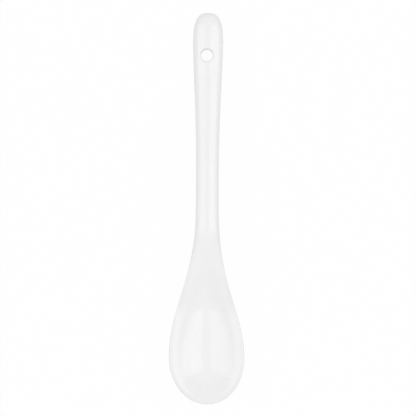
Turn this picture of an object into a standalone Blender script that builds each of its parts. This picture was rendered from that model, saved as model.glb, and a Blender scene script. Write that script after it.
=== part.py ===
"""Ceramic teaspoon with a hanging hole, in one piece, lying on a table with its bowl up.

The bowl's tip is at -Y and the handle's end at +Y. The bowl's base and the handle's end rest on Z = 0.
Stations are distances along the spoon from the bowl's tip.
"""
import math

import bmesh
import bpy

# Plan sizes in metres
LENGTH = 0.140
BOWL_WIDTH = 0.0270
BOWL_CENTRE = 0.0167        # station of the bowl's widest and lowest place
NECK_WIDTH = 0.00815
NECK_AT = 0.0835            # station of the narrowest place
HANDLE_WIDTH = 0.01085
END_CAP = 0.0112            # from the handle's widest place to its end
TIP_POWER = 2.03            # 2 is an ellipse, more is squarer
END_POWER = 2.8
END_FULLNESS = 5.5          # how near its end the handle keeps its full thickness
FLARE_POWER = 5.43          # how soon the bowl draws in towards the neck
TAPER_POWER = 1.54          # how late the handle widens towards its end
BOWL_LEAN = 0.014           # slope at which the hand-made bowl points to the right of the handle's line

# Side sizes in metres
NECK_THICKNESS = 0.0064
END_THICKNESS = 0.0076
RISE_AT = 0.0226            # station where the bowl's edge starts to rise to the arch
ARCH_HEIGHT = 0.0126        # table to the top of the handle's arch
ARCH_AT = 0.074             # station of the arch's top
CROWN_POWER = 2.16          # roundness of the handle's top, 2 is an ellipse
HEEL = 0.0056               # from where the handle lies level to its end
FOOT_CUT = 0.00025          # how much the resting places are ground flat

# Bowl sizes in metres
BOWL_DEPTH = 0.0094         # depth of the hollow under the rim's crown
BOWL_WALL = 0.0028          # at the bowl's base
RIM_CROWN = 0.0060          # height of the rim's rounding before the hollow is taken off it
RIM_ROLL = 0.0040           # width over which the rim rounds up
RIM_POWER = 2.25            # roundness of the rim
HOLLOW_START = 0.0323       # station where the bowl's hollow starts to run out
HOLLOW_END = 0.0640         # station where it has run out
HOLLOW_POWER = 1.8          # roundness of the hollow, less is more pointed
BELLY_POWER = 0.85          # shape of the bowl's underside, 0.5 is an ellipse
OVAL_POWER = 0.5            # shape of the handle's underside

# Hanging hole in metres
HOLE_DIAMETER = 0.0044
HOLE_INSET = 0.0153         # hole's centre to the handle's end
HOLE_ROUND = 0.00055        # rounding of the hole's edges
HOLE_OFF_CENTRE = -0.0004   # the hole sits a little to the left
SHIFT_FADE = 0.0053         # how far beyond the hole's rim that shift dies away

# Glaze
GLAZE_COLOUR = (0.86, 0.86, 0.86, 1)
GLAZE_ROUGHNESS = 0.12

# Mesh steps
TIP_ROWS = 12
BODY_ROWS = 40
HOLE_ROWS = 10
LIP_ROWS = 3
END_ROWS = 9
LIP_COLUMNS = 3
SIDE_COLUMNS = 8
LIP_SHARE = 0.2             # share of the half-width that the lip columns take
WELD = 1e-6                 # points closer than this in metres are one
SHARP_ANGLE = math.radians(40)

# Places that follow from the sizes
WIDEST_AT = LENGTH - END_CAP
HEEL_AT = LENGTH - HEEL
HOLE_AT = LENGTH - HOLE_INSET
HOLE_RADIUS = HOLE_DIAMETER / 2
HOLE_RIM = HOLE_RADIUS + HOLE_ROUND
HOLE_REACH = HOLE_RIM + SHIFT_FADE
BOWL_EDGE = BOWL_WALL + BOWL_DEPTH - RIM_CROWN
ARCH_EDGE = ARCH_HEIGHT - NECK_THICKNESS / 2
HEEL_EDGE = END_THICKNESS / 2 - FOOT_CUT


def share(start, end, station):
    """How far a station lies between two others, from 0 to 1."""
    return min(max((station - start) / (end - start), 0.0), 1.0)


def smooth(t):
    """The same share, eased at both ends."""
    t = min(max(t, 0.0), 1.0)
    return t * t * (3 - 2 * t)


def blend(first, second, t):
    return first + (second - first) * t


def cap(station):
    """0 along the spoon, rising to 1 round its tip and its end."""
    return 1 - share(0, BOWL_CENTRE, station) + share(WIDEST_AT, LENGTH, station)


def tip_to_end(tip_value, end_value, station):
    """A value that changes evenly from the bowl's tip part to the handle's end part."""
    return blend(tip_value, end_value, share(BOWL_CENTRE, WIDEST_AT, station))


def widening(station):
    """0 up to the neck, rising to 1 where the handle is widest and thickest."""
    return 1 - (1 - share(NECK_AT, WIDEST_AT, station) ** 2) ** TAPER_POWER


def reach(station):
    """Half the spoon's width before its tip and end are rounded: the bowl's flare, the handle's taper."""
    flare = (1 - share(BOWL_CENTRE, NECK_AT, station) ** 2) ** FLARE_POWER
    bowl = blend(NECK_WIDTH, BOWL_WIDTH, flare) / 2
    return bowl + (HANDLE_WIDTH - NECK_WIDTH) / 2 * widening(station)


def half_height(station):
    """Half the handle's thickness before its end is rounded."""
    return blend(NECK_THICKNESS, END_THICKNESS, widening(station)) / 2


def half_width(station):
    power = tip_to_end(TIP_POWER, END_POWER, station)
    return reach(station) * (1 - cap(station) ** power) ** (1 / power)


def way_out(x, station):
    """Where a point lies on the way out to the outline: 0 on the middle line, 1 on the outline."""
    power = tip_to_end(TIP_POWER, END_POWER, station)
    fullness = tip_to_end(TIP_POWER, END_FULLNESS, station)
    across = min(abs(x) / max(half_width(station), WELD), 1.0)
    inside = (1 - across ** power) * (1 - cap(station) ** fullness)
    return (1 - inside) ** (1 / power)


def handle_share(station):
    """0 in the bowl, rising to 1 at the arch's top and along the handle."""
    return smooth(share(RISE_AT, ARCH_AT, station))


def run_out(station):
    """1 in the bowl, falling to 0 where its hollow has run out."""
    return 1 - smooth(share(HOLLOW_START, HOLLOW_END, station))


def edge_height(station):
    """Height of the spoon's edge line: level at the bowl, arched, level again at the heel."""
    rise = blend(BOWL_EDGE, ARCH_EDGE, handle_share(station))
    return rise - (ARCH_EDGE - HEEL_EDGE) * smooth(share(ARCH_AT, HEEL_AT, station))


def hole_rounding(x, station):
    """How far the hole's rounded edge draws back from the surface."""
    gap = (math.hypot(x, station - HOLE_AT) - HOLE_RADIUS) / HOLE_ROUND
    gap = min(max(gap, 0.0), 1.0)
    return HOLE_ROUND * (1 - math.sqrt(1 - (1 - gap) ** 2))


def top_height(x, station):
    """Upper surface: the edge line, the rounded rim or handle above it, less the bowl's hollow."""
    out, handle = way_out(x, station), handle_share(station)
    roll = blend(RIM_ROLL, reach(station), handle)
    roll_left = 1 - min(reach(station) * (1 - out) / roll, 1.0)
    power = blend(RIM_POWER, CROWN_POWER, handle)
    crown = blend(RIM_CROWN, half_height(station), handle) * (1 - roll_left ** power) ** (1 / power)
    hollow = BOWL_DEPTH * run_out(station) * math.sqrt(1 - out ** HOLLOW_POWER)
    return edge_height(station) + crown - hollow - hole_rounding(x, station)


def bottom_height(x, station):
    """Under surface: the belly below the edge line, cut flat where it would pass the table."""
    out, handle = way_out(x, station), handle_share(station)
    belly = blend(BOWL_EDGE + FOOT_CUT, half_height(station), handle)
    power = blend(BELLY_POWER, OVAL_POWER, handle)
    height = edge_height(station) - belly * (1 - out ** 2) ** power
    return max(height, 0.0) + hole_rounding(x, station)


def sideways(x, station):
    """Shift to the right: the leaning bowl, and the hole that sits off the handle's middle."""
    lean = BOWL_LEAN * (BOWL_CENTRE - station) * run_out(station)
    width, from_hole = half_width(station), abs(station - HOLE_AT)
    if from_hole >= HOLE_REACH:
        return lean
    across = smooth((width - abs(x)) / (width - HOLE_RIM))
    along = smooth((HOLE_REACH - from_hole) / (HOLE_REACH - HOLE_RIM))
    return lean + HOLE_OFF_CENTRE * across * along


def eased_stations(start, end, rows, first, last):
    """Rows between two stations, spaced as the shadow of an arc from one angle to another."""
    low, high = math.cos(first), math.cos(last)
    angles = [blend(first, last, row / rows) for row in range(rows + 1)]
    return [blend(start, end, (low - math.cos(angle)) / (low - high)) for angle in angles]


def stations():
    """All rows from the tip to the end, close together where the outline turns quickly."""
    quarter, half = math.pi / 2, math.pi
    before, after = HOLE_AT - HOLE_RIM, HOLE_AT + HOLE_RIM
    body = [blend(BOWL_CENTRE, before, row / BODY_ROWS) for row in range(BODY_ROWS + 1)]
    rows = eased_stations(0, BOWL_CENTRE, TIP_ROWS, 0, quarter)
    rows += body[1:]
    rows += eased_stations(before, HOLE_AT - HOLE_RADIUS, LIP_ROWS, quarter, half)[1:]
    rows += eased_stations(HOLE_AT - HOLE_RADIUS, HOLE_AT + HOLE_RADIUS, HOLE_ROWS, 0, half)[1:]
    rows += eased_stations(HOLE_AT + HOLE_RADIUS, after, LIP_ROWS, 0, quarter)[1:]
    rows += eased_stations(after, LENGTH, END_ROWS, quarter, half)[1:]
    return rows


def column_shares():
    """Shares of the half-width from the middle, or the hole's edge, out to the spoon's edge."""
    lip = [LIP_SHARE * (1 - math.cos(step / LIP_COLUMNS * math.pi / 2)) for step in range(LIP_COLUMNS)]
    steps = [math.sin(step / SIDE_COLUMNS * math.pi / 2) for step in range(SIDE_COLUMNS + 1)]
    return lip + [blend(LIP_SHARE, 1, step) for step in steps]


def hole_half_chord(station):
    """Half the hole's width at a station, 0 outside it."""
    return math.sqrt(max(HOLE_RADIUS ** 2 - (station - HOLE_AT) ** 2, 0.0))


def row_points(station, side):
    """One side's points round the section: over the top to the edge, and back underneath."""
    width, inner = half_width(station), hole_half_chord(station)
    across = [blend(inner, width, column) for column in column_shares()]
    top = [(x, top_height(x, station)) for x in across]
    edge = (width, edge_height(station))
    under = [(x, bottom_height(x, station)) for x in reversed(across[:-1])]
    points = top[:-1] + [edge] + under
    return [(side * x + sideways(x, station), station - LENGTH / 2, z) for x, z in points]


def build_mesh():
    """Both sides are lofted row by row and welded along the middle, except round the hole."""
    rows = stations()
    body = bmesh.new()
    for side in (1, -1):
        rings = [[body.verts.new(point) for point in row_points(station, side)] for station in rows]
        for row in range(len(rows) - 1):
            near, far = rings[row], rings[row + 1]
            for column in range(len(near) - 1):
                body.faces.new((near[column], near[column + 1], far[column + 1], far[column]))
            if hole_half_chord((rows[row] + rows[row + 1]) / 2) > 0:
                body.faces.new((near[-1], near[0], far[0], far[-1]))
    bmesh.ops.remove_doubles(body, verts=body.verts, dist=WELD)
    bmesh.ops.recalc_face_normals(body, faces=body.faces)
    mesh = bpy.data.meshes.new("teaspoon")
    body.to_mesh(mesh)
    body.free()
    return mesh


def glazed_porcelain():
    material = bpy.data.materials.new("glazed_porcelain")
    material.use_nodes = True
    shader = material.node_tree.nodes["Principled BSDF"]
    shader.inputs["Base Color"].default_value = GLAZE_COLOUR
    shader.inputs["Roughness"].default_value = GLAZE_ROUGHNESS
    shader.inputs["Metallic"].default_value = 0.0
    return material


def clear_scene():
    for existing in list(bpy.data.objects):
        bpy.data.objects.remove(existing, do_unlink=True)


def build_teaspoon():
    mesh = build_mesh()
    mesh.materials.append(glazed_porcelain())
    mesh.shade_smooth()
    mesh.set_sharp_from_angle(angle=SHARP_ANGLE)
    teaspoon = bpy.data.objects.new("teaspoon", mesh)
    bpy.context.scene.collection.objects.link(teaspoon)
    return teaspoon


clear_scene()
build_teaspoon()
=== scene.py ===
"""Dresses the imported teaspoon: a fine porcelain body in its solid's place, and a white studio.

Laid out as an add-on and run as a script. All sizes are in metres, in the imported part's own frame:
the bowl's tip is at -Y, the handle's end at +Y, and the spoon rests on Z = 0. Stations are distances
along the spoon from the bowl's tip.
"""

import math

import bpy
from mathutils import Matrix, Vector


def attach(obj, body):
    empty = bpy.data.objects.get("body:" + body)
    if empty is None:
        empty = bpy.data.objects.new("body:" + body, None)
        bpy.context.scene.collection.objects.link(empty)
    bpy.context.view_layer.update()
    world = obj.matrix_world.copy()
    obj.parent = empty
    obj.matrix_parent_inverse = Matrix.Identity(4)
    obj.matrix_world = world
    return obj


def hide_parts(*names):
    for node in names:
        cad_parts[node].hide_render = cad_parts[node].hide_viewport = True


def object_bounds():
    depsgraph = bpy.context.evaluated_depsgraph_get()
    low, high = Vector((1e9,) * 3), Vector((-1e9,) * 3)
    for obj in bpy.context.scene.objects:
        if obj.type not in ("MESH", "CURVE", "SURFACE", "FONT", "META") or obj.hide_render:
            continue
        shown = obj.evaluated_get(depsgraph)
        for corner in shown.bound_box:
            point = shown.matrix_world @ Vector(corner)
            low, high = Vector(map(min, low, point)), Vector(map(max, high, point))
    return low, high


bl_info = {
    "name": "Porcelain Teaspoon",
    "version": (1, 0, 0),
    "blender": (4, 5, 0),
    "location": "3D View > Sidebar > Teaspoon",
    "description": "Makes a glazed porcelain teaspoon with a hanging hole, and the studio it is seen in",
    "category": "Object",
}

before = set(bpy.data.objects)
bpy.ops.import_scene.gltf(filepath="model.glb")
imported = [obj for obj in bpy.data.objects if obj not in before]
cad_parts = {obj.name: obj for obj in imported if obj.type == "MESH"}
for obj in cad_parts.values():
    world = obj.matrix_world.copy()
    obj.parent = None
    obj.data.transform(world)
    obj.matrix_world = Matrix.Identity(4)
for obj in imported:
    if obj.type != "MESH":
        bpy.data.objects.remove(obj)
CAD_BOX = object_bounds()
CAD_SIZE = [high - low for low, high in zip(*CAD_BOX)]


# Sizes and colours that a user would change

def distance(name, description, default):
    return bpy.props.FloatProperty(name=name, description=description, default=default,
                                   unit="LENGTH", subtype="DISTANCE", precision=5)


def number(name, description, default):
    return bpy.props.FloatProperty(name=name, description=description, default=default, precision=3)


def angle(name, description, degrees):
    return bpy.props.FloatProperty(name=name, description=description, default=math.radians(degrees),
                                   unit="ROTATION", subtype="ANGLE")


def count(name, description, default):
    return bpy.props.IntProperty(name=name, description=description, default=default, min=2)


def hex_colour(name, description, default):
    return bpy.props.StringProperty(name=name, description=description, default=default)


class TeaspoonSizes(bpy.types.PropertyGroup):
    """The sizes that the body's rule works from."""
    length: distance("Length", "From the bowl's tip to the handle's end", CAD_SIZE[1])
    bowl_width: distance("Bowl Width", "Across the bowl's widest place", CAD_SIZE[0])
    bowl_centre: distance("Bowl Centre", "Station of the bowl's widest and lowest place", 0.0167)
    neck_width: distance("Neck Width", "Across the narrowest place", 0.00815)
    neck_at: distance("Neck Place", "Station of the narrowest place", 0.0835)
    handle_width: distance("Handle Width", "Across the handle near its end", 0.01085)
    end_cap: distance("End Cap", "From the handle's widest place to its end", 0.0112)
    tip_power: number("Tip Power", "Roundness of the tip: 2 is an ellipse, more is squarer", 2.03)
    end_power: number("End Power", "Roundness of the handle's end", 2.8)
    end_fullness: number("End Fullness", "How near its end the handle keeps its full thickness", 5.5)
    flare_power: number("Flare Power", "How soon the bowl draws in towards the neck", 5.43)
    taper_power: number("Taper Power", "How late the handle widens towards its end", 1.54)
    bowl_lean: number("Bowl Lean", "Slope at which the hand-made bowl points to the right", 0.014)
    neck_thickness: distance("Neck Thickness", "Through the neck from top to bottom", 0.0064)
    end_thickness: distance("End Thickness", "Through the handle near its end", 0.0076)
    rise_at: distance("Rise Start", "Station where the bowl's edge starts to rise to the arch", 0.0226)
    arch_height: distance("Arch Height", "From the table to the top of the handle's arch", CAD_SIZE[2])
    arch_at: distance("Arch Place", "Station of the arch's top", 0.074)
    crown_power: number("Crown Power", "Roundness of the handle's top: more than 2 is flatter", 2.16)
    heel: distance("Heel", "From where the handle lies level to its end", 0.0056)
    foot_cut: distance("Foot Cut", "How much the resting places are ground flat", 0.00025)
    bowl_depth: distance("Bowl Depth", "From the uncut crown's height down to the hollow's floor", 0.0094)
    bowl_wall: distance("Bowl Wall", "Thickness at the bowl's base", 0.0028)
    rim_crown: distance("Rim Crown", "Height of the rim's rounding before it is hollowed", 0.0060)
    rim_roll: distance("Rim Roll", "Width over which the rim rounds up", 0.0040)
    rim_power: number("Rim Power", "Roundness of the rim", 2.25)
    hollow_start: distance("Hollow Start", "Station where the bowl's hollow starts to run out", 0.0323)
    hollow_end: distance("Hollow End", "Station where the bowl's hollow has run out", 0.0640)
    hollow_power: number("Hollow Power", "Roundness of the hollow: 2 is an ellipse, less is pointed", 1.8)
    belly_power: number("Belly Power", "Shape of the bowl's underside, 0.5 is an ellipse", 0.85)
    oval_power: number("Oval Power", "Shape of the handle's underside", 0.5)
    hole_diameter: distance("Hole Diameter", "Across the hanging hole", 0.0044)
    hole_inset: distance("Hole Inset", "From the hole's centre to the handle's end", 0.0153)
    hole_round: distance("Hole Round", "Rounding of the hole's edges", 0.00055)
    hole_off_centre: distance("Hole Off Centre", "How far the hole sits to the right", -0.0004)
    shift_fade: distance("Shift Fade", "How far beyond the hole's rim that shift dies away", 0.0053)
    wave_height: distance("Wave Height", "Unevenness of the hand-dipped glaze", 0.00006)
    wave_length: distance("Wave Length", "Distance between those slow waves", 0.012)
    wave_clear: distance("Wave Clear", "Height above the table over which the waves set in", 0.001)
    # Between these two shares the glaze greys towards the edge: partly real thin glaze, partly painted
    # shade that darkens the rim's bright band and the neck's highlight
    thin_from: number("Thin From", "Share of the way out where the glaze starts to run thin", 0.70)
    thin_to: number("Thin To", "Share of the way out where the glaze is thinnest", 0.95)


class TeaspoonMesh(bpy.types.PropertyGroup):
    """How finely the body is divided, in points from one end of each band to the other."""
    tip_rows: count("Tip Rows", "Points round the bowl's tip", 49)
    body_rows: count("Body Rows", "Points from the bowl's middle to the hole", 241)
    lip_rows: count("Lip Rows", "Points over the hole's rounded edge, before and after it", 8)
    hole_rows: count("Hole Rows", "Points along the hole", 33)
    end_rows: count("End Rows", "Points round the handle's end", 41)
    ring_columns: count("Ring Columns", "Points from the top's middle round to the bottom's", 97)
    wall_columns: count("Wall Columns", "Points up the hole's wall", 9)


class TeaspoonGlaze(bpy.types.PropertyGroup):
    """Colours of the glaze, as sRGB hex values, and its finish."""
    glaze: hex_colour("Glaze", "White glaze over the porcelain", "#EEEEEE")
    # Partly painted shade: this grey darkens the rim and the handle's flanks as shade would, besides
    # showing glaze run thin there
    thin_glaze: hex_colour("Thin Glaze", "Glaze where it has run thin on an edge", "#EAEAEA")
    bare_foot: hex_colour("Bare Foot", "Ground resting places without glaze", "#E3E0DA")
    bare_below: distance("Bare Below", "Height below which a resting place is bare", 0.00002)
    glazed_above: distance("Glazed Above", "Height above which the glaze is whole", 0.00010)
    glass_index: number("Glass Index", "How strongly the glaze bends light", 1.5)
    clear_roughness: number("Clear Roughness", "Roughness where the glaze is clearest", 0.15)
    cloudy_roughness: number("Cloudy Roughness", "Roughness where the glaze is cloudiest", 0.20)
    bare_roughness: number("Bare Roughness", "Roughness of the ground resting places", 0.55)
    cloud_size: distance("Cloud Size", "Across a place where the dip left more or less glaze", 0.014)
    cloud_thinness: number("Cloud Thinness", "How thin the glaze gets in such a place", 0.4)
    peel_size: distance("Peel Size", "Across one dimple of the melted glaze", 0.0025)
    peel_depth: distance("Peel Depth", "Depth of a full dimple", 0.00002)
    peel_strength: number("Peel Strength", "Share of that depth that shows", 0.25)


class TeaspoonStudio(bpy.types.PropertyGroup):
    """The floor, light and camera."""
    view_height: distance("View Height", "Camera above the table", 0.90)
    view_level: distance("View Level", "Height above the table at which the view's width is taken", 0.008)
    view_width: distance("View Width", "Width that the picture shows at that level", 0.1483)
    view_right: distance("View Right", "Camera's place to the right of the spoon's middle", 0.00025)
    view_up: distance("View Up", "Camera's place towards the handle's end", 0.00013)
    view_roll: angle("View Roll", "Turn of the camera about its line of sight", 0.29)
    floor_size: distance("Floor Size", "Side of the square floor", 3.0)
    floor_colour: hex_colour("Floor Colour", "Pale matt floor", "#E6E6E6")
    floor_glow: number("Floor Glow", "Share of plain white in the floor that is seen", 0.97)
    box_distance: distance("Softbox Distance", "From the spoon to each softbox", 2.4)
    box_across: distance("Softbox Across", "Softbox's size across the spoon", 2.4)
    box_along: distance("Softbox Along", "Softbox's size along the spoon", 1.35)
    box_lean: angle("Softbox Lean", "Turn of each softbox from straight above", 40)
    left_turn: angle("Left Turn", "Turn of the left softbox towards the handle's end", 6.5)
    right_turn: angle("Right Turn", "Turn of the right softbox towards the handle's end", 8.7)
    left_radiance: number("Left Radiance", "Brightness of the left softbox, 1 is white", 1.10)
    right_radiance: number("Right Radiance", "Brightness of the right softbox, 1 is white", 1.28)
    front_distance: distance("Front Distance", "From the spoon to the front softbox", 0.53)
    front_size: distance("Front Size", "Side of the square front softbox", 0.25)
    front_lean: angle("Front Lean", "Turn of the front softbox from straight above", 50)
    front_radiance: number("Front Radiance", "Brightness of the front softbox, 1 is white", 0.57)
    room_light: number("Room Light", "Soft light from all round, 1 is white", 0.742)


# Small helpers

def add_node(tree, kind, sources=None, **settings):
    """Adds a node, sets what it does, and links or fills its inputs by name or number."""
    node = tree.nodes.new(kind)
    for setting, value in settings.items():
        setattr(node, setting, value)
    for place, source in (sources or {}).items():
        if isinstance(source, bpy.types.NodeSocket):
            tree.links.new(source, node.inputs[place])
        else:
            node.inputs[place].default_value = source
    return node


def linear_colour(hex_value):
    """Turns an sRGB hex value into a linear colour."""
    channels = [int(hex_value[place:place + 2], 16) / 255 for place in (1, 3, 5)]
    linear = [c / 12.92 if c <= 0.04045 else ((c + 0.055) / 1.055) ** 2.4 for c in channels]
    return (*linear, 1.0)


# Rule of the spoon's shape, one line for each node: its result's name, what it does, what it works from.
# Length, heel and each name with low lines are sizes from the panel, and any other name is the result of
# an earlier line.
# LINEAR and SMOOTHSTEP carry a value from one range to another: value, range's ends, new range's ends.
# Around and station are a point's place on the flat sheet that is bent into one side of the spoon. Around
# is 0 at the top's middle, 0.5 on the edge, 1 at the bottom's middle, and runs on to 2 up the hole's wall.

QUARTER = math.pi / 2       # a quarter turn

PLACES = (
    ("half bowl", "MULTIPLY", "bowl_width", 0.5),
    ("half neck", "MULTIPLY", "neck_width", 0.5),
    ("half handle", "MULTIPLY", "handle_width", 0.5),
    ("half neck height", "MULTIPLY", "neck_thickness", 0.5),
    ("half end height", "MULTIPLY", "end_thickness", 0.5),
    ("widest at", "SUBTRACT", "length", "end_cap"),
    ("heel at", "SUBTRACT", "length", "heel"),
    ("hole at", "SUBTRACT", "length", "hole_inset"),
    ("hole radius", "MULTIPLY", "hole_diameter", 0.5),
    ("hole rim", "ADD", "hole radius", "hole_round"),
    ("hole reach", "ADD", "hole rim", "shift_fade"),
    ("hole start", "SUBTRACT", "hole at", "hole radius"),
    ("hole stop", "ADD", "hole at", "hole radius"),
    ("lip start", "SUBTRACT", "hole at", "hole rim"),
    ("lip stop", "ADD", "hole at", "hole rim"),
    ("bowl height", "ADD", "bowl_wall", "bowl_depth"),
    ("bowl edge", "SUBTRACT", "bowl height", "rim_crown"),
    ("bowl belly", "ADD", "bowl edge", "foot_cut"),
    ("arch edge", "SUBTRACT", "arch_height", "half neck height"),
    ("heel edge", "SUBTRACT", "half end height", "foot_cut"),
    ("heel drop", "SUBTRACT", "heel edge", "arch edge"),
)

OUTLINE = (
    ("tip share", "LINEAR", "station", 0.0, "bowl_centre", 1.0, 0.0),
    ("end share", "LINEAR", "station", "widest at", "length", 0.0, 1.0),
    ("cap", "ADD", "tip share", "end share"),
    ("cap power", "LINEAR", "station", "bowl_centre", "widest at", "tip_power", "end_power"),
    ("cap root", "DIVIDE", 1.0, "cap power"),
    ("cap raised", "POWER", "cap", "cap power"),
    ("cap left", "SUBTRACT", 1.0, "cap raised"),
    ("cap rounding", "POWER", "cap left", "cap root"),
    ("full power", "LINEAR", "station", "bowl_centre", "widest at", "tip_power", "end_fullness"),
    ("full raised", "POWER", "cap", "full power"),
    ("full left", "SUBTRACT", 1.0, "full raised"),
    ("flare share", "LINEAR", "station", "bowl_centre", "neck_at", 0.0, 1.0),
    ("flare square", "MULTIPLY", "flare share", "flare share"),
    ("flare left", "SUBTRACT", 1.0, "flare square"),
    ("flare", "POWER", "flare left", "flare_power"),
    ("taper share", "LINEAR", "station", "neck_at", "widest at", 0.0, 1.0),
    ("taper square", "MULTIPLY", "taper share", "taper share"),
    ("taper left", "SUBTRACT", 1.0, "taper square"),
    ("taper", "POWER", "taper left", "taper_power"),
    ("widening", "SUBTRACT", 1.0, "taper"),
    ("bowl over neck", "SUBTRACT", "half bowl", "half neck"),
    ("handle over neck", "SUBTRACT", "half handle", "half neck"),
    ("bowl and neck", "MULTIPLY_ADD", "bowl over neck", "flare", "half neck"),
    ("reach", "MULTIPLY_ADD", "handle over neck", "widening", "bowl and neck"),
    ("half width", "MULTIPLY", "reach", "cap rounding"),
    ("half height", "LINEAR", "widening", 0.0, 1.0, "half neck height", "half end height"),
)

ACROSS = (
    ("turned", "MULTIPLY_ADD", "around", 2.0, -1.0),
    ("folded", "ABSOLUTE", "turned"),
    ("column angle", "LINEAR", "folded", 0.0, 1.0, QUARTER, 0.0),
    ("column", "SINE", "column angle"),
    ("past hole", "SUBTRACT", "station", "hole at"),
    ("past hole square", "MULTIPLY", "past hole", "past hole"),
    ("hole square", "MULTIPLY", "hole radius", "hole radius"),
    ("chord square", "SUBTRACT", "hole square", "past hole square"),
    ("chord kept", "MAXIMUM", "chord square", 0.0),
    ("chord", "SQRT", "chord kept"),
    ("beside hole", "SUBTRACT", "half width", "chord"),
    ("x", "MULTIPLY_ADD", "beside hole", "column", "chord"),
    ("x divided", "DIVIDE", "x", "half width"),
    ("x share", "MINIMUM", "x divided", 1.0),
    ("x raised", "POWER", "x share", "cap power"),
    ("x left", "SUBTRACT", 1.0, "x raised"),
    ("inside", "MULTIPLY", "x left", "full left"),
    ("outside", "SUBTRACT", 1.0, "inside"),
    ("radius", "POWER", "outside", "cap root"),
)

HOLE_EDGE = (
    ("x square", "MULTIPLY", "x", "x"),
    ("hole distance square", "ADD", "x square", "past hole square"),
    ("hole distance", "SQRT", "hole distance square"),
    ("lip left", "LINEAR", "hole distance", "hole radius", "hole rim", 1.0, 0.0),
    ("lip left square", "MULTIPLY", "lip left", "lip left"),
    ("lip rest", "SUBTRACT", 1.0, "lip left square"),
    ("lip height", "SQRT", "lip rest"),
    ("lip drop", "SUBTRACT", 1.0, "lip height"),
    ("lip", "MULTIPLY", "lip drop", "hole_round"),
)

HEIGHTS = (
    ("edge rise", "SMOOTHSTEP", "station", "rise_at", "arch_at", "bowl edge", "arch edge"),
    ("edge fall", "SMOOTHSTEP", "station", "arch_at", "heel at", 0.0, "heel drop"),
    ("edge", "ADD", "edge rise", "edge fall"),
    ("handle share", "SMOOTHSTEP", "station", "rise_at", "arch_at", 0.0, 1.0),
    ("roll", "LINEAR", "handle share", 0.0, 1.0, "rim_roll", "reach"),
    ("radius left", "SUBTRACT", 1.0, "radius"),
    ("inset length", "MULTIPLY", "reach", "radius left"),
    ("roll left", "LINEAR", "inset length", 0.0, "roll", 1.0, 0.0),
    ("crown shape", "LINEAR", "handle share", 0.0, 1.0, "rim_power", "crown_power"),
    ("crown root", "DIVIDE", 1.0, "crown shape"),
    ("roll left raised", "POWER", "roll left", "crown shape"),
    ("roll rest", "SUBTRACT", 1.0, "roll left raised"),
    ("roll rise", "POWER", "roll rest", "crown root"),
    ("crown height", "LINEAR", "handle share", 0.0, 1.0, "rim_crown", "half height"),
    ("crowned", "MULTIPLY_ADD", "crown height", "roll rise", "edge"),
    ("run out", "SMOOTHSTEP", "station", "hollow_start", "hollow_end", 1.0, 0.0),
    ("hollow raised", "POWER", "radius", "hollow_power"),
    ("hollow left", "SUBTRACT", 1.0, "hollow raised"),
    ("hollow across", "SQRT", "hollow left"),
    ("hollow shape", "MULTIPLY", "hollow across", "run out"),
    ("hollow", "MULTIPLY", "hollow shape", "bowl_depth"),
    ("top before hole", "SUBTRACT", "crowned", "hollow"),
    ("top", "SUBTRACT", "top before hole", "lip"),
    ("belly depth", "LINEAR", "handle share", 0.0, 1.0, "bowl belly", "half height"),
    ("belly shape", "LINEAR", "handle share", 0.0, 1.0, "belly_power", "oval_power"),
    ("radius square", "MULTIPLY", "radius", "radius"),
    ("belly left", "SUBTRACT", 1.0, "radius square"),
    ("belly", "POWER", "belly left", "belly shape"),
    ("belly drop", "MULTIPLY", "belly", "belly depth"),
    ("belly height", "SUBTRACT", "edge", "belly drop"),
    ("ground flat", "MAXIMUM", "belly height", 0.0),
    ("bottom", "ADD", "ground flat", "lip"),
    ("on top", "LESS_THAN", "around", 0.5),
    ("up the wall", "LINEAR", "around", 1.0, 2.0, 0.0, 1.0),
    ("top share", "MAXIMUM", "on top", "up the wall"),
    ("z", "LINEAR", "top share", 0.0, 1.0, "bottom", "top"),
    ("half length", "MULTIPLY", "length", 0.5),
    ("y", "SUBTRACT", "station", "half length"),
)

SIDEWAYS = (
    ("shift across", "SMOOTHSTEP", "x", "half width", "hole rim", 0.0, 1.0),
    ("from hole", "ABSOLUTE", "past hole"),
    ("shift along", "SMOOTHSTEP", "from hole", "hole reach", "hole rim", 0.0, 1.0),
    ("shift share", "MULTIPLY", "shift across", "shift along"),
    ("before bowl centre", "SUBTRACT", "bowl_centre", "station"),
    ("bowl slope", "MULTIPLY", "run out", "bowl_lean"),
    ("bowl shift", "MULTIPLY", "before bowl centre", "bowl slope"),
    ("shift", "MULTIPLY_ADD", "shift share", "hole_off_centre", "bowl shift"),
    # Greys the glaze towards the edge: partly real thin glaze, partly painted shade on the rim and the
    # handle's flanks
    ("thin", "SMOOTHSTEP", "radius", "thin_from", "thin_to", 0.0, 1.0),
)

GENTLE = 0.4                # an arc this far on both sides of a quarter turn spaces its rows nearly evenly
WELD = 1e-6                 # points closer than this are one
EDGE_SHADE_AND_THIN_GLAZE = "thin_glaze"   # the attribute that carries the grey towards the edge: thin glaze with painted shade

# Bands of rows on the sheet: first station, last station, rows, the arc whose shadow spaces the rows,
# columns, and where around starts
BANDS = (
    (0.0, "bowl_centre", "tip_rows", 0.0, QUARTER, "ring_columns", 0.0),
    ("bowl_centre", "lip start", "body_rows", QUARTER - GENTLE, QUARTER + GENTLE, "ring_columns", 0.0),
    ("lip start", "hole start", "lip_rows", QUARTER, math.pi, "ring_columns", 0.0),
    ("hole start", "hole stop", "hole_rows", 0.0, math.pi, "ring_columns", 0.0),
    ("hole start", "hole stop", "hole_rows", 0.0, math.pi, "wall_columns", 1.0),
    ("hole stop", "lip stop", "lip_rows", 0.0, QUARTER, "ring_columns", 0.0),
    ("lip stop", "length", "end_rows", QUARTER, math.pi, "ring_columns", 0.0),
)


# Tree that makes the body

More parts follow.
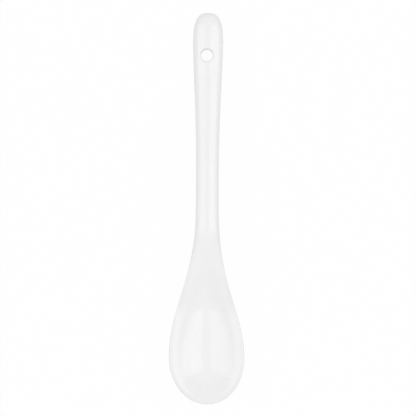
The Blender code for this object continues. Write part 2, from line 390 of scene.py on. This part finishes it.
def add_steps(tree, values, steps):
    """Adds the nodes of one part of the rule and keeps their results by name."""
    for name, operation, *sources in steps:
        inputs = {place: values.get(source, source) for place, source in enumerate(sources)}
        if operation in ("LINEAR", "SMOOTHSTEP"):
            node = add_node(tree, "ShaderNodeMapRange", inputs, interpolation_type=operation)
        else:
            node = add_node(tree, "ShaderNodeMath", inputs, operation=operation)
        values[name] = node.outputs[0]


def add_band(tree, values, band):
    """Adds one band of the flat sheet, where X holds around and Y holds the station.

    It starts as a grid one unit wide and long, which reaches half a unit each way from its middle.
    """
    start, stop, rows, first, last, columns, around = band
    grid = add_node(tree, "GeometryNodeMeshGrid",
                    {"Size X": 1.0, "Size Y": 1.0,
                     "Vertices X": values[columns], "Vertices Y": values[rows]})
    position = add_node(tree, "GeometryNodeInputPosition")
    place = add_node(tree, "ShaderNodeSeparateXYZ", {0: position.outputs[0]})
    sheet = {**values, "across": place.outputs["X"], "along": place.outputs["Y"]}
    add_steps(tree, sheet, (
        ("column", "LINEAR", "across", -0.5, 0.5, around, around + 1),
        ("row angle", "LINEAR", "along", -0.5, 0.5, first, last),
        ("row shadow", "COSINE", "row angle"),
        ("row", "LINEAR", "row shadow", math.cos(first), math.cos(last), start, stop),
    ))
    spot = add_node(tree, "ShaderNodeCombineXYZ", {"X": sheet["column"], "Y": sheet["row"]})
    band_sheet = add_node(tree, "GeometryNodeSetPosition",
                          {"Geometry": grid.outputs["Mesh"], "Position": spot.outputs[0]})
    return band_sheet.outputs[0]


def add_flat_sheet(tree, values):
    """Joins the bands, and names each point's around and station for the rule."""
    sheet = add_node(tree, "GeometryNodeJoinGeometry")
    for band in BANDS:
        tree.links.new(add_band(tree, values, band), sheet.inputs[0])
    position = add_node(tree, "GeometryNodeInputPosition")
    place = add_node(tree, "ShaderNodeSeparateXYZ", {0: position.outputs[0]})
    values["around"] = place.outputs["X"]
    values["station"] = place.outputs["Y"]
    return sheet.outputs[0]


def add_bent_side(tree, values, sheet):
    """Bends the sheet into the right-hand side, and keeps the sideways shift and the edge's grey, thin
    glaze with painted shade.
    """
    for steps in (OUTLINE, ACROSS, HOLE_EDGE, HEIGHTS, SIDEWAYS):
        add_steps(tree, values, steps)
    keeper = add_node(tree, "GeometryNodeCaptureAttribute", {"Geometry": sheet})
    for name in ("shift", "thin"):
        keeper.capture_items.new("FLOAT", name)
        tree.links.new(values[name], keeper.inputs[name])
        values[name] = keeper.outputs[name]
    spot = add_node(tree, "ShaderNodeCombineXYZ", {"X": values["x"], "Y": values["y"], "Z": values["z"]})
    side = add_node(tree, "GeometryNodeSetPosition",
                    {"Geometry": keeper.outputs["Geometry"], "Position": spot.outputs[0]})
    return side.outputs[0]


def add_welded_body(tree, values, side):
    """Mirrors the side, welds both along the middle and the edge's ends, and shifts bowl and hole."""
    mirrored = add_node(tree, "GeometryNodeTransform", {"Geometry": side, "Scale": (-1.0, 1.0, 1.0)})
    other_side = add_node(tree, "GeometryNodeFlipFaces", {"Mesh": mirrored.outputs[0]})
    both = add_node(tree, "GeometryNodeJoinGeometry", {0: side})
    tree.links.new(other_side.outputs[0], both.inputs[0])
    welded = add_node(tree, "GeometryNodeMergeByDistance", {"Geometry": both.outputs[0], "Distance": WELD})
    sideways = add_node(tree, "ShaderNodeCombineXYZ", {"X": values["shift"]})
    shifted = add_node(tree, "GeometryNodeSetPosition",
                       {"Geometry": welded.outputs[0], "Offset": sideways.outputs[0]})
    return shifted.outputs[0]


def add_glaze_waves(tree, values, body):
    """Adds the slow unevenness of dipped glaze along the normal, with none at the resting places."""
    position = add_node(tree, "GeometryNodeInputPosition")
    place = add_node(tree, "ShaderNodeSeparateXYZ", {0: position.outputs[0]})
    add_steps(tree, values, (("waves in a metre", "DIVIDE", 1.0, "wave_length"),))
    noise = add_node(tree, "ShaderNodeTexNoise", {"Vector": position.outputs[0], "Detail": 1.0,
                                                  "Scale": values["waves in a metre"]})
    values["height"] = place.outputs["Z"]
    values["noise"] = noise.outputs[0]
    add_steps(tree, values, (
        ("swing", "SUBTRACT", "noise", 0.5),
        ("clear of table", "SMOOTHSTEP", "height", 0.0, "wave_clear", 0.0, 1.0),
        ("swing kept", "MULTIPLY", "swing", "clear of table"),
        ("wave", "MULTIPLY", "swing kept", "wave_height"),
    ))
    normal = add_node(tree, "GeometryNodeInputNormal")
    offset = add_node(tree, "ShaderNodeVectorMath", {0: normal.outputs[0], "Scale": values["wave"]},
                      operation="SCALE")
    waved = add_node(tree, "GeometryNodeSetPosition", {"Geometry": body, "Offset": offset.outputs[0]})
    return waved.outputs[0]


def add_finish(tree, values, body, material):
    """Stores the edge's grey, thin glaze with painted shade, for the material, smooths the shading and
    sets the material.
    """
    named = add_node(tree, "GeometryNodeStoreNamedAttribute",
                     {"Geometry": body, "Name": EDGE_SHADE_AND_THIN_GLAZE, "Value": values["thin"]},
                     data_type="FLOAT", domain="POINT")
    smooth = add_node(tree, "GeometryNodeSetShadeSmooth", {"Geometry": named.outputs[0]})
    real = add_node(tree, "GeometryNodeRealizeInstances", {"Geometry": smooth.outputs[0]})
    finish = add_node(tree, "GeometryNodeSetMaterial", {"Geometry": real.outputs[0], "Material": material})
    add_node(tree, "NodeGroupOutput", {0: finish.outputs[0]})


def add_inputs(tree, group, kind):
    """Gives the tree one named input for each property of a group, and returns their identifiers."""
    identifiers = {}
    for name in group.__annotations__:
        label = group.bl_rna.properties[name].name
        identifiers[name] = tree.interface.new_socket(name=label, socket_type=kind).identifier
    return identifiers


def teaspoon_tree(material):
    """Builds the whole tree, and returns it with the identifiers of its inputs."""
    tree = bpy.data.node_groups.new("teaspoon_body", "GeometryNodeTree")
    tree.is_modifier = True
    tree.interface.new_socket(name="Body", in_out="OUTPUT", socket_type="NodeSocketGeometry")
    identifiers = add_inputs(tree, TeaspoonSizes, "NodeSocketFloat")
    identifiers.update(add_inputs(tree, TeaspoonMesh, "NodeSocketInt"))
    values = dict(zip(identifiers, add_node(tree, "NodeGroupInput").outputs))
    add_steps(tree, values, PLACES)
    sheet = add_flat_sheet(tree, values)
    side = add_bent_side(tree, values, sheet)
    body = add_welded_body(tree, values, side)
    body = add_glaze_waves(tree, values, body)
    add_finish(tree, values, body, material)
    return tree, identifiers


# Materials

COLOUR_A, COLOUR_B, COLOUR_RESULT = 6, 7, 2     # a Mix node's colour sockets by number
CLOUD_THINS, CLOUD_THINNEST = 0.35, 0.75        # cloud noise at which the glaze starts to thin, and stops
CLOUD_DULLS, CLOUD_DULLEST = 0.30, 0.70         # cloud noise at which it starts to dull, and stops


def glazed_porcelain(glaze):
    """White porcelain dipped in clear glaze and fired: a bright even body under a wet-looking skin.

    The eye gets soft reflections that wander a little, a grey towards the rim and the handle's flanks that
    is partly thin glaze and partly painted shade, and two small dull patches underneath where the resting
    places were ground.
    """
    material = bpy.data.materials.new("glazed_porcelain")
    material.use_nodes = True
    tree = material.node_tree
    shader = tree.nodes["Principled BSDF"]
    shader.inputs["IOR"].default_value = glaze.glass_index

    coordinates = add_node(tree, "ShaderNodeTexCoord").outputs["Object"]
    place = add_node(tree, "ShaderNodeSeparateXYZ", {0: coordinates})
    foot = add_node(tree, "ShaderNodeMapRange",
                    {"Value": place.outputs["Z"], "From Min": glaze.bare_below,
                     "From Max": glaze.glazed_above, "To Min": 1.0, "To Max": 0.0})
    # The edge's grey from the body: partly thin glaze, partly painted shade on the rim and the handle's
    # flanks
    thin = add_node(tree, "ShaderNodeAttribute", attribute_name=EDGE_SHADE_AND_THIN_GLAZE)

    # Clouds, where the dip left more or less glaze
    cloud = add_node(tree, "ShaderNodeTexNoise",
                     {"Vector": coordinates, "Scale": 1 / glaze.cloud_size, "Detail": 2.0})
    cloudy = add_node(tree, "ShaderNodeMapRange",
                      {"Value": cloud.outputs[0], "From Min": CLOUD_THINS, "From Max": CLOUD_THINNEST,
                       "To Min": 0.0, "To Max": glaze.cloud_thinness})
    # The glaze greys in the clouds and towards the edge, where that grey is partly painted shade
    thin_and_shaded = add_node(tree, "ShaderNodeMath", {0: thin.outputs["Fac"], 1: cloudy.outputs[0]},
                        operation="MAXIMUM")
    white = add_node(tree, "ShaderNodeMix",
                     {0: thin_and_shaded.outputs[0], COLOUR_A: linear_colour(glaze.glaze),
                      COLOUR_B: linear_colour(glaze.thin_glaze)}, data_type="RGBA")
    colour = add_node(tree, "ShaderNodeMix",
                      {0: foot.outputs[0], COLOUR_A: white.outputs[COLOUR_RESULT],
                       COLOUR_B: linear_colour(glaze.bare_foot)}, data_type="RGBA")

    # Glassy, a little duller in the clouds, and matt where the glaze is ground off
    gloss = add_node(tree, "ShaderNodeMapRange",
                     {"Value": cloud.outputs[0], "From Min": CLOUD_DULLS, "From Max": CLOUD_DULLEST,
                      "To Min": glaze.clear_roughness, "To Max": glaze.cloudy_roughness})
    roughness = add_node(tree, "ShaderNodeMapRange",
                         {"Value": foot.outputs[0], "To Min": gloss.outputs[0],
                          "To Max": glaze.bare_roughness})

    # Faint orange peel, as glaze has that melted over a pressed body
    peel = add_node(tree, "ShaderNodeTexNoise",
                    {"Vector": coordinates, "Scale": 1 / glaze.peel_size, "Detail": 1.0})
    bump = add_node(tree, "ShaderNodeBump", {"Height": peel.outputs[0], "Strength": glaze.peel_strength,
                                             "Distance": glaze.peel_depth})

    tree.links.new(colour.outputs[COLOUR_RESULT], shader.inputs["Base Color"])
    tree.links.new(roughness.outputs[0], shader.inputs["Roughness"])
    tree.links.new(bump.outputs[0], shader.inputs["Normal"])
    return material


def add_background_seen(tree):
    """Light Path's answer to whether a ray shows the background: straight, mirrored or through."""
    path = add_node(tree, "ShaderNodeLightPath")
    mirrored = add_node(tree, "ShaderNodeMath", {0: path.outputs["Is Camera Ray"],
                                                 1: path.outputs["Is Glossy Ray"]}, operation="MAXIMUM")
    seen = add_node(tree, "ShaderNodeMath", {0: mirrored.outputs[0],
                                             1: path.outputs["Is Transmission Ray"]}, operation="MAXIMUM")
    return seen.outputs[0]


def matt_paper(studio):
    """Matt white paper sweep: it shows as plain white with a trace of the spoon's shadow."""
    material = bpy.data.materials.new("matt_paper")
    material.use_nodes = True
    tree = material.node_tree
    tree.nodes.clear()
    paper = add_node(tree, "ShaderNodeBsdfDiffuse", {"Color": linear_colour(studio.floor_colour)})
    white = add_node(tree, "ShaderNodeEmission", {"Strength": 1.0})
    glow = add_node(tree, "ShaderNodeMath", {0: add_background_seen(tree), 1: studio.floor_glow},
                    operation="MULTIPLY")
    surface = add_node(tree, "ShaderNodeMixShader", {0: glow.outputs[0], 1: paper.outputs[0],
                                                     2: white.outputs[0]})
    add_node(tree, "ShaderNodeOutputMaterial", {"Surface": surface.outputs[0]})
    return material


# Stage

def make_floor(scene, studio):
    """A square of paper that the spoon lies on."""
    half = studio.floor_size / 2
    corners = [(-half, -half, 0), (half, -half, 0), (half, half, 0), (-half, half, 0)]
    mesh = bpy.data.meshes.new("studio_floor")
    mesh.from_pydata(corners, [], [(0, 1, 2, 3)])
    mesh.materials.append(matt_paper(studio))
    floor = bpy.data.objects.new("studio_floor", mesh)
    scene.collection.objects.link(floor)


def make_room(scene, studio):
    """Even light from all round, which is seen as white."""
    world = bpy.data.worlds.new("studio_room")
    world.use_nodes = True
    tree = world.node_tree
    tree.nodes.clear()
    light = add_node(tree, "ShaderNodeBackground", {"Color": (1, 1, 1, 1), "Strength": studio.room_light})
    white = add_node(tree, "ShaderNodeBackground", {"Color": (1, 1, 1, 1), "Strength": 1.0})
    room = add_node(tree, "ShaderNodeMixShader", {0: add_background_seen(tree), 1: light.outputs[0],
                                                  2: white.outputs[0]})
    add_node(tree, "ShaderNodeOutputWorld", {"Surface": room.outputs[0]})
    scene.world = world


def add_softbox(scene, name, size, radiance, reach, heading, lean):
    """An oblong soft lamp, leaning from straight above towards a heading, that faces the spoon."""
    lamp = bpy.data.lights.new(name, "AREA")
    lamp.shape = "RECTANGLE"
    lamp.size, lamp.size_y = size
    lamp.energy = radiance * math.pi * lamp.size * lamp.size_y      # watts that give this radiance
    softbox = bpy.data.objects.new(name, lamp)
    softbox.rotation_euler = (0, lean, heading)
    away = reach * math.sin(lean)
    softbox.location = (away * math.cos(heading), away * math.sin(heading), reach * math.cos(lean))
    softbox.visible_camera = False
    scene.collection.objects.link(softbox)
    return softbox


def make_softboxes(scene, studio):
    """Two soft lamps, left and right above the spoon, and a weak one in front of the bowl."""
    size = (studio.box_across, studio.box_along)
    for name, heading, radiance in (("softbox_left", math.pi - studio.left_turn, studio.left_radiance),
                                    ("softbox_right", studio.right_turn, studio.right_radiance)):
        add_softbox(scene, name, size, radiance, studio.box_distance, heading, studio.box_lean)
    size = (studio.front_size, studio.front_size)
    front = add_softbox(scene, "softbox_front", size, studio.front_radiance, studio.front_distance,
                        -QUARTER, studio.front_lean)
    front.visible_glossy = False    # it fills the bowl's shade and leaves no patch in the glaze


def make_camera(scene, studio):
    """Looks straight down, as the picture does."""
    lens = bpy.data.cameras.new("camera_above")
    lens.lens = lens.sensor_width * (studio.view_height - studio.view_level) / studio.view_width
    camera = bpy.data.objects.new("camera_above", lens)
    camera.location = (studio.view_right, studio.view_up, studio.view_height)
    camera.rotation_euler = (0, 0, studio.view_roll)
    scene.collection.objects.link(camera)
    scene.camera = camera


# Operators, panel and registration

class TEASPOON_OT_body(bpy.types.Operator):
    """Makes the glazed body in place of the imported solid"""
    bl_idname = "teaspoon.body"
    bl_label = "Make Body"

    def execute(self, context):
        scene = context.scene
        tree, identifiers = teaspoon_tree(glazed_porcelain(scene.teaspoon_glaze))
        body = bpy.data.objects.new("teaspoon_body", bpy.data.meshes.new("teaspoon_start"))
        scene.collection.objects.link(body)
        maker = body.modifiers.new("Teaspoon Body", "NODES")
        maker.node_group = tree
        for kind, group in ((TeaspoonSizes, scene.teaspoon_sizes), (TeaspoonMesh, scene.teaspoon_mesh)):
            for name in kind.__annotations__:
                maker[identifiers[name]] = getattr(group, name)
        made = body.evaluated_get(context.evaluated_depsgraph_get())
        mesh = bpy.data.meshes.new_from_object(made)
        if not mesh.polygons:
            raise RuntimeError("the body's tree made no faces")
        mesh.name = "teaspoon_body"
        body.modifiers.remove(maker)
        body.data = mesh
        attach(body, "root")
        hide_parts("teaspoon")
        return {"FINISHED"}


class TEASPOON_OT_stage(bpy.types.Operator):
    """Makes the floor, the light and the camera"""
    bl_idname = "teaspoon.stage"
    bl_label = "Make Studio"

    def execute(self, context):
        scene = context.scene
        studio = scene.teaspoon_studio
        scene.view_settings.view_transform = "Standard"
        make_floor(scene, studio)
        make_room(scene, studio)
        make_softboxes(scene, studio)
        make_camera(scene, studio)
        return {"FINISHED"}


class TEASPOON_PT_panel(bpy.types.Panel):
    """Sizes, colours and the two makers"""
    bl_idname = "TEASPOON_PT_panel"
    bl_label = "Porcelain Teaspoon"
    bl_space_type = "VIEW_3D"
    bl_region_type = "UI"
    bl_category = "Teaspoon"

    def draw(self, context):
        for attribute, kind in GROUPS.items():
            box = self.layout.box()
            for name in kind.__annotations__:
                box.prop(getattr(context.scene, attribute), name)
        for operator in OPERATORS:
            self.layout.operator(operator.bl_idname)


GROUPS = {
    "teaspoon_sizes": TeaspoonSizes,
    "teaspoon_mesh": TeaspoonMesh,
    "teaspoon_glaze": TeaspoonGlaze,
    "teaspoon_studio": TeaspoonStudio,
}
OPERATORS = (TEASPOON_OT_body, TEASPOON_OT_stage)
CLASSES = (*GROUPS.values(), *OPERATORS, TEASPOON_PT_panel)


def register():
    for kind in CLASSES:
        bpy.utils.register_class(kind)
    for attribute, kind in GROUPS.items():
        setattr(bpy.types.Scene, attribute, bpy.props.PointerProperty(type=kind))


def unregister():
    for attribute in GROUPS:
        delattr(bpy.types.Scene, attribute)
    for kind in reversed(CLASSES):
        bpy.utils.unregister_class(kind)


def main():
    register()
    bpy.ops.teaspoon.body()
    bpy.ops.teaspoon.stage()


if __name__ == "__main__":
    main()
